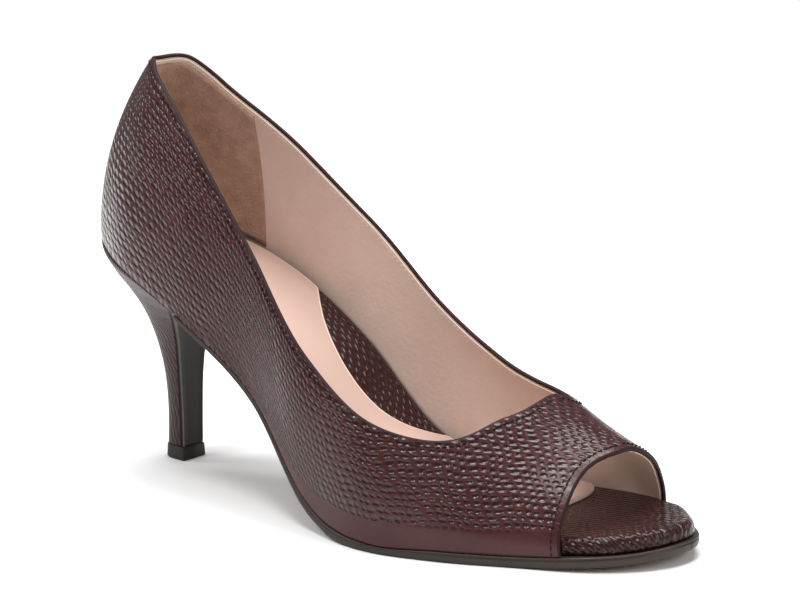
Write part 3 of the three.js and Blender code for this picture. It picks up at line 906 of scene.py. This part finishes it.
def add_counter(work, side):
    collar = stepped_curve(collar_curve(side), side, counter_top_back, collar_sign[side], True)
    turns, ups = collar(np.linspace(0, 1, 801))
    turn = np.linspace(0, float(turn_of(counter_reach)), counter_columns + 1)
    top = np.interp(turn, turns[:400], ups[:400])
    level = np.linspace(0, 1, counter_rows + 1)
    up = counter_foot_up + (top[:, None] - counter_foot_up) * level[None, :]
    turn = np.repeat(turn[:, None], counter_rows + 1, axis=1)
    places = flat_place(turn, up, side)
    deep = lining_depth + lining_thickness
    face = put_grid(work, skin_points(turn, up, side, deep + counter_thickness), places, 0.0)
    back = put_grid(work, skin_points(turn, up, side, deep - counter_sunk), places, 0.0)
    join_grid(work, face, side, 0, True)
    join_grid(work, back, side, 0, False)
    join_grid(work, np.stack([back[:, 0], face[:, 0]], axis=1), side, 0, True)
    join_grid(work, np.stack([face[:, -1], back[:, -1]], axis=1), side, 0, True)
    join_grid(work, np.stack([face[-1], back[-1]], axis=0), side, 0, True)


counter_work = new_work()
for side in (lateral, medial):
    add_counter(counter_work, side)
finish_work("suede_counter", counter_work, [heel_suede], "sock_leather")

# %% [markdown]
# ## Outlines for sole, footbed and sock
# These three follow the outline of the last. Each is a stack of closed loops, moved in or
# out from the outline and up or down from the bed, and the loops give its edge its profile.

# %% Outline loops
shank_thickness = 1.5
sole_overhang = 0.3
sole_bevel = 0.7
clearance = 0.3
wall = 1.8
heel_inset = 0.6
breast_at = 56
breast_thickness = 1.1


def outline_point(turn, side, inset):
    here = last_point(turn, 0 * turn, side)[..., :2]
    ahead = last_point(np.minimum(turn + probe, 1), 0 * turn, side)[..., :2]
    behind = last_point(np.maximum(turn - probe, 0), 0 * turn, side)[..., :2]
    run = ahead - behind
    run[turn < probe] = (0, side)
    run[turn > 1 - probe] = (0, -side)
    run /= np.linalg.norm(run, axis=-1, keepdims=True)
    across = side * np.stack([run[..., 1], -run[..., 0]], -1)
    return here + across * np.asarray(inset, float)[..., None]


def both_sides(edge_of):
    return np.concatenate([edge_of(lateral), edge_of(medial)[::-1]])


def outline_loop(turns, inset, height_at):
    def edge_of(side):
        flat = outline_point(turns, side, inset)
        return np.column_stack([flat, height_at(flat[:, 0], flat[:, 1])])

    return both_sides(edge_of)


def sole_underside(x, y):
    gain = sole_gain(np.clip(x / last_length, 0, 1))
    return np.maximum(0, bed_at(x, y) - shank_thickness - (sole_thickness - shank_thickness) * gain)


ball = 150.0
print("sole is", round(float(bed_at(ball, 0.0) - sole_underside(ball, 0.0)), 2), "mm at the ball")

# %% [markdown]
# ## The outsole
# The sole is cut from firm leather, glued on, and its edge is trimmed on a wheel, inked and
# waxed. The wheel leaves a rounded edge with a fine groove near the top. Each row of the
# profile is an inset from the outline and a share of the sole's thickness.

# %% The outsole with its polished edge
edge_profile = [
    (sole_bevel - sole_overhang + 0.1, 0.0), (0.16, 0.05), (-0.12, 0.14), (-0.28, 0.26), (-0.3, 0.4),
    (-0.3, 0.62), (-0.28, 0.72), (-0.08, 0.76), (-0.06, 0.82), (-0.24, 0.86), (-0.2, 0.95), (0.2, 1.0),
]
sole_turns = np.linspace(float(turn_of((breast_at + clearance) / last_length)), 1, 240)
sole_loops = []
for inset, share in edge_profile:
    sole_loops.append(outline_loop(sole_turns, inset, lambda x, y: (
        sole_underside(x, y) + (bed_at(x, y) - clearance - sole_underside(x, y)) * share
    )))
points, places, faces, level_of = loft(sole_loops, [loop[:, :2] for loop in sole_loops])
outsole = make_piece(
    "outsole_leather", points, faces, [sole_edge, sole_bottom], "sole_leather", places, level_of <= 0
)
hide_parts("outsole")

# %% [markdown]
# ## The footbed
# A thin firm foam lies on a board, and the upper's leather is pulled over both, so the edge
# is round where it shows in the peep toe. Its map is unrolled over the rounded edge, so the
# scales don't smear there. It is the one padded piece.

# %% The footbed
insole_thickness = 5
insole_rim_inset = 1.1
insole_rounding = 1.5
bed_profile = [
    (0.5, 0.0), (0.12, 0.05), (0.0, 0.18), (0.03, 0.34), (0.14, 0.5), (0.36, 0.64),
    (0.7, 0.77), (1.15, 0.87), (1.7, 0.94), (2.3, 0.98), (3.0, 1.0),
]
bed_turns = np.linspace(0, 1, 260)


def insole_inset(turns):
    shown = np.clip((along_of(turns) - 0.9) / 0.04, 0, 1)
    hidden = wall + clearance
    return hidden + (insole_rim_inset - hidden) * shown * shown * (3 - 2 * shown)


bed_loops = []
bed_maps = []
for inset, share in bed_profile:
    rim = insole_inset(bed_turns)
    unrolled = inset - insole_thickness * (1 - share)
    rise_here = insole_thickness * share
    bed_loops.append(outline_loop(bed_turns, rim + inset, lambda x, y: bed_at(x, y) + rise_here))
    bed_maps.append(outline_loop(bed_turns, rim + unrolled, lambda x, y: 0 * x)[:, :2])
points, places, faces, level_of = loft(bed_loops, bed_maps)
footbed = make_piece("footbed_leather", points, faces, [footbed_leather], "footbed_leather", places)
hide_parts("insole")

# %% [markdown]
# ## The sock
# The sock is a thin sheet of leather, cut with a die and glued on the footbed. It is cut
# away in a bow at the inner arch, where the embossed footbed shows, and its cut edge is
# cream. The bow is a curve through a few points, as shares of the length and the ball width.

# %% The sock
sock_inset = 1.2
sock_front_at = 0.8
sock_round_from = 0.745
sock_roundness = 3
sock_cut_rows = np.array([
    (0.28, 0.42), (0.32, 0.3), (0.37, 0.17), (0.43, 0.095), (0.48, 0.13), (0.53, 0.27), (0.57, 0.42),
])
sock_cut = smooth(sock_cut_rows[:, 0], sock_cut_rows[:, 1])
sock_profile = [(0.0, -0.2), (0.0, 0.3), (0.06, 0.7), (0.3, 0.92), (0.7, 1.0)]
sock_turns = float(turn_of(sock_front_at)) * np.sin(np.pi / 2 * np.linspace(0, 1, 260)) ** 0.9


def sock_loop(inset, lift):
    def edge_of(side):
        rim = insole_inset(sock_turns) + insole_rounding + sock_inset
        flat = outline_point(sock_turns, side, rim + inset)
        x, y = flat[:, 0], flat[:, 1]
        along = x / last_length
        middle = axis_y(along)
        in_cut = (side == medial) & (along > sock_cut_rows[0, 0]) & (along < sock_cut_rows[-1, 0])
        cut_y = middle + ball_width * sock_cut(np.clip(along, 0.2, 0.7)) - inset
        y = np.where(in_cut, np.minimum(y, cut_y), y)
        past = np.clip((along - sock_round_from) / (sock_front_at - sock_round_from), 0, 1)
        y = middle + (y - middle) * (1 - past**sock_roundness) ** (1 / sock_roundness)
        return np.column_stack([x, y, bed_at(x, y) + insole_thickness + clearance + lift])

    return both_sides(edge_of)


sock_loops = [sock_loop(inset, lift) for inset, lift in sock_profile]
points, places, faces, level_of = loft(sock_loops, [loop[:, :2] for loop in sock_loops])
on_edge = (level_of >= 0) & (level_of < len(sock_loops) - 1)
sock = make_piece("sock_sheet", points, faces, [sock_leather, cut_edge], "sock_leather", places, on_edge)
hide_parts("sock_lining")

# %% [markdown]
# ## The heel
# A slim heel is a moulded plastic core with a steel pin, covered in the upper's leather.
# It is lofted from rounded outlines, wide at the seat and fast narrowing, so the loops sit
# close together near the top. The table gives how much of the seat's size is left at each
# share of the way down.

# %% Heel outlines
tip_back_at = 26.4
tip_front_at = 36
tip_width = 9.5
tip_corner = 2.4
top_piece_height = 4.4
seat_fade = 12
level_ease = 1.6
# down, side left, back left, front left
heel_rows = np.array([
    [0.0, 1.0, 1.0, 1.0],
    [0.03, 0.935, 0.96, 0.91],
    [0.07, 0.76, 0.885, 0.7],
    [0.13, 0.565, 0.745, 0.48],
    [0.2, 0.38, 0.555, 0.28],
    [0.3, 0.205, 0.345, 0.115],
    [0.42, 0.092, 0.19, 0.033],
    [0.6, 0.034, 0.04, 0.0],
    [0.8, 0.009, -0.01, 0.0],
    [1.0, 0.0, 0.0, 0.0],
])
side_left, back_left, front_left = [smooth(np.sqrt(heel_rows[:, 0]), heel_rows[:, k]) for k in (1, 2, 3)]
breast_turn = float(turn_of(breast_at / last_length))
seat_half = -float(outline_point(np.array([breast_turn]), lateral, heel_inset)[0, 1])
tip_top = top_piece_height + clearance


def left_at(curve, seat, tip, drop):
    return tip + (seat - tip) * float(curve(math.sqrt(drop)))


def heel_half(drop):
    return left_at(side_left, seat_half, tip_width / 2, drop)


def heel_back(drop):
    return left_at(back_left, heel_inset, tip_back_at, drop)


def heel_front(drop):
    return left_at(front_left, breast_at, tip_front_at, drop)


def heel_z(x, y, drop):
    seat = bed_at(x, y) - clearance
    return seat + (tip_top - seat) * drop


def breast_reach(drop, thickness):
    above = max(0, drop - 0.01)
    below = min(1, drop + 0.01)
    fall = (below - above) * (float(bed_at(float(breast_at), 0.0)) - tip_top)
    run = heel_front(above) - heel_front(below)
    return thickness * math.hypot(fall, run) / fall


def rounded_half(share, back, front, half, corner):
    angle = np.pi / 2 * share
    x = front - (front - back) * np.maximum(np.cos(angle), 0) ** (2 / corner)
    return x, half * np.sin(angle) ** (2 / corner)


print("seat half width:", round(seat_half, 1), "mm, heel", round(heel_half(0.5) * 2, 1), "mm wide halfway")

# %% [markdown]
# The cover is one piece of the upper's leather, pulled round the core with its seam hidden
# under the breast strip. At the seat the outline is the last's own, so that heel and upper
# meet without a step, and it fades into the rounded outline below.

# %% Heel cover
heel_steps = 56
heel_shares = np.linspace(1, 0, heel_steps + 1)
heel_drops = np.linspace(1, 0, 90) ** level_ease


def heel_loop(drop):
    front = heel_front(drop) - breast_reach(drop, breast_thickness + clearance * 0.3)
    half_x, half_y = rounded_half(heel_shares, heel_back(drop), front, heel_half(drop), tip_corner)
    plain_x, plain_y = rounded_half(heel_shares, heel_inset, breast_at, seat_half, tip_corner)
    fade = (1 - drop) ** seat_fade

    def edge_of(side):
        seat = outline_point(breast_turn * heel_shares, side, heel_inset)
        x = half_x + fade * (seat[:, 0] - plain_x)
        y = side * half_y + fade * (seat[:, 1] - side * plain_y)
        return np.column_stack([x, y, heel_z(x, y, drop)])

    return np.concatenate([edge_of(medial), edge_of(lateral)[::-1]])


def heel_map(loop):
    steps = np.linalg.norm(np.diff(loop[:, :2], axis=0), axis=1)
    run = np.pad(np.cumsum(steps), (1, 0))
    return np.column_stack([run - run[len(run) // 2], loop[:, 2]])


heel_loops = [heel_loop(drop) for drop in heel_drops]
points, places, faces, level_of = loft(heel_loops, [heel_map(loop) for loop in heel_loops])
heel = make_piece("heel_cover", points, faces, [heel_leather], "embossed_leather", places)
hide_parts("heel")

# %% [markdown]
# The breast is the heel's flat front. A strip of smooth leather covers it, darkened by
# painted shade, with a painted highlight in a lighter colour along the rounded lip down
# each side. Its cross-section is a row of points over the front and the same row behind,
# so the faces of the rounded lips can get the lighter colour.

# %% Breast strip
strip_inset = 0.12
strip_across = np.array([-1, -0.995, -0.93, -0.9, -0.5, 0, 0.5, 0.9, 0.93, 0.995, 1])
strip_relief = np.array([-0.25, -0.05, 0.05, 0.0, 0, 0, 0, 0, 0.05, -0.05, -0.25])
# faces of the rounded lips that get the painted highlight colour
highlight_places = (0, 1, 8, 9)


def breast_loop(drop):
    across = strip_across * (heel_half(drop) - strip_inset)
    front = heel_front(drop) + strip_relief
    behind = heel_front(drop) - breast_reach(drop, breast_thickness) + 0 * across
    rows = [np.column_stack([x, across, heel_z(x, across, drop)]) for x in (front, behind)]
    return np.concatenate([rows[0], rows[1][::-1]])


breast_loops = [breast_loop(drop) for drop in heel_drops]
points, places, faces, level_of = loft(breast_loops, [loop[:, 1:] for loop in breast_loops])
around = np.arange(len(faces)) % (2 * len(strip_across))
on_side = (level_of >= 0) & (level_of < len(breast_loops))
# painted highlight: the rounded lips take the lighter colour
highlight_faces = on_side & np.isin(around, highlight_places)
breast = make_piece(
    "breast_strip", points, faces, [breast_leather, breast_lip_highlight], "breast_leather", places, highlight_faces
)
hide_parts("heel_breast")

# %% [markdown]
# The top piece is the small hard block under the heel that takes the wear. It is moulded,
# so its edges are slightly rounded, and it stands out a hair from the leather above.

# %% Top piece
top_piece_corner = 2.8
top_piece_levels = [
    (0.12, 0.0), (0.35, 0.25), (0.34, 0.9), (0.22, 3.2), (0.14, 4.1), (0.0, top_piece_height),
]
tip_loops = []
for grow, z in top_piece_levels:
    x, y = rounded_half(
        heel_shares, tip_back_at - grow, tip_front_at + grow, tip_width / 2 + grow, top_piece_corner
    )
    edges = [np.column_stack([x, side * y, z + 0 * x]) for side in (medial, lateral)]
    tip_loops.append(np.concatenate([edges[0], edges[1][::-1]]))
points, places, faces, level_of = loft(tip_loops, [loop[:, :2] for loop in tip_loops])
top_piece = make_piece("heel_top_piece", points, faces, [top_piece_rubber], "top_piece_rubber", places)
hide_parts("top_piece")

# %% [markdown]
# ## Stitches
# Two threads lock through the leather about two millimetres from the edge and show as
# short dashes. Each dash is a small rounded bead that dips into the leather at both ends,
# and all of one seam are joined in one mesh, so the piece stays light.

# %% Rows of stitches
bead_rings = 5
bead_sides = 6
bead_angles = 2 * np.pi * np.arange(bead_sides) / bead_sides
bead_cosines = np.cos(bead_angles)[:, None]
bead_sines = np.sin(bead_angles)[:, None]
bead_swell = np.sin(np.pi * np.linspace(0.12, 0.88, bead_rings))


def bead_faces():
    numbers = np.arange(bead_rings * bead_sides).reshape(bead_rings, bead_sides)
    sides = quads_of(np.concatenate([numbers, numbers[:, :1]], axis=1))[:, ::-1]
    return [*sides.tolist(), numbers[0].tolist(), numbers[-1, ::-1].tolist()]


def stitch_beads(path, outward, thread, pitch, gap):
    run = np.pad(np.cumsum(np.linalg.norm(np.diff(path, axis=0), axis=1)), (1, 0))
    beads = []
    for k in range(int(run[-1] // pitch)):
        shares = k * pitch + gap / 2 + (pitch - gap) * np.linspace(0, 1, bead_rings)
        centre = np.column_stack([np.interp(shares, run, path[:, axis]) for axis in range(3)])
        away = np.column_stack([np.interp(shares, run, outward[:, axis]) for axis in range(3)])
        away /= np.linalg.norm(away, axis=1, keepdims=True)
        heading = centre[-1] - centre[0]
        aside = np.cross(heading / np.linalg.norm(heading), away)
        middle = centre + away * (thread * (0.55 * bead_swell - 0.25))[:, None]
        around = bead_cosines * away[:, None] + bead_sines * aside[:, None]
        beads.append((middle[:, None] + thread * bead_swell[:, None, None] * around).reshape(-1, 3))
    return beads


def seam(name, curve_of, sign, step_back, depth, facing, thread, pitch, gap, material, cad_slot):
    beads = []
    for side in (lateral, medial):
        line = stepped_curve(curve_of(side), side, step_back, sign[side], curve_of is collar_curve)
        turn, up = line(np.linspace(0.002, 0.998, 600))
        path = skin_points(turn, up, side, depth)
        beads += stitch_beads(path, inward_at(turn, up, side) * facing, thread, pitch, gap)
    one_bead = bead_faces()
    faces = [[k * len(beads[0]) + i for i in face] for k in range(len(beads)) for face in one_bead]
    print(name, "has", len(beads), "stitches")
    return make_piece(name, np.concatenate(beads), faces, [material], cad_slot)


inward, outward = 1, -1
# edge, way to the edge, back from it, depth, facing, thread radius, pitch, gap, thread, slot
seams = {
    "topline_stitches": (
        collar_curve, collar_sign, 2.2, 0.0, outward, 0.27, 2.0, 0.5, dark_thread, "embossed_leather"
    ),
    "peep_stitches": (
        peep_curve, peep_sign, 2.6, 0.0, outward, 0.27, 2.0, 0.5, dark_thread, "embossed_leather"
    ),
    "lining_stitches": (
        collar_curve, collar_sign, 2.3, 2.0, inward, 0.17, 1.9, 0.6, cream_thread, "sock_leather"
    ),
}
for name, facts in seams.items():
    seam(name, *facts)

# %% [markdown]
# ## The floor and the air
# The shoe stands on a round of white paper. The air around it is white for the camera but
# gives only a weak light, because a dark glossy leather would go grey in a white room. A
# light path node tells the two apart, and it is in the air only, not in any finish.

# %% Floor and air
floor_radius = 0.85
floor_rim = [
    (floor_radius * math.cos(math.radians(a)), floor_radius * math.sin(math.radians(a)), 0.0)
    for a in range(0, 360, 3)
]
floor_mesh = bpy.data.meshes.new("studio_floor")
floor_mesh.from_pydata(floor_rim, [], [tuple(range(len(floor_rim)))])
floor = bpy.data.objects.new("studio_floor", floor_mesh)
bpy.context.collection.objects.link(floor)
floor_paper, tree = new_finish("white_paper_floor")
paper = add(tree, "BsdfPrincipled", (), {
    "Base Color": linear("#F4F4F4"), "Roughness": 0.9, "Specular IOR Level": 0.1,
})
add(tree, "OutputMaterial", (), [paper])
floor_mesh.materials.append(floor_paper)

room_light = 0.22
studio_air = bpy.data.worlds.new("studio_air")
studio_air.use_nodes = True
tree = studio_air.node_tree
tree.nodes.clear()
seen = add(tree, "LightPath").outputs["Is Camera Ray"]
glow = add(tree, "Background", (), {"Color": (1, 1, 1, 1), "Strength": room_light})
backdrop = add(tree, "Background", (), {"Color": (1, 1, 1, 1), "Strength": 1.0})
add(tree, "OutputWorld", (), [add(tree, "MixShader", (), [seen, glow, backdrop])])
bpy.context.scene.world = studio_air
print("floor", round(2 * floor_radius, 2), "m wide, air at", room_light)

# %% [markdown]
# ## The lights
# A wide softbox hangs overhead and behind, a weak key stands at the left and a weak fill at
# the right. Two small boxes high in front put the bright points in the pits. Glossy leather
# shows its lights as reflections, so places and sizes matter more than strength.

# %% Softboxes
softboxes = {
    "overhead_softbox": ((-0.1, 0.25, 1.1), 0.9, 0.7, 16),
    "left_key_softbox": ((-0.95, -0.45, 0.85), 0.4, 0.5, 4.5),
    "small_side_box": ((-0.3, -0.8, 1.05), 0.2, 0.2, 3.6),
    "right_fill_softbox": ((1.0, 0.1, 0.6), 0.5, 0.6, 4),
    "front_softbox": ((0.15, -0.4, 1.15), 0.35, 0.35, 6),
}
light_aim = Vector((0.0, 0.0, 0.05))
for name, (place, width, height, power) in softboxes.items():
    light = bpy.data.lights.new(name, "AREA")
    light.shape = "RECTANGLE"
    light.size = width
    light.size_y = height
    light.energy = power
    lamp = bpy.data.objects.new(name, light)
    lamp.location = place
    lamp.rotation_mode = "QUATERNION"
    lamp.rotation_quaternion = (light_aim - Vector(place)).to_track_quat("-Z", "Y")
    bpy.context.collection.objects.link(lamp)
bpy.context.scene.view_settings.view_transform = "Standard"
print("lights:", list(softboxes))
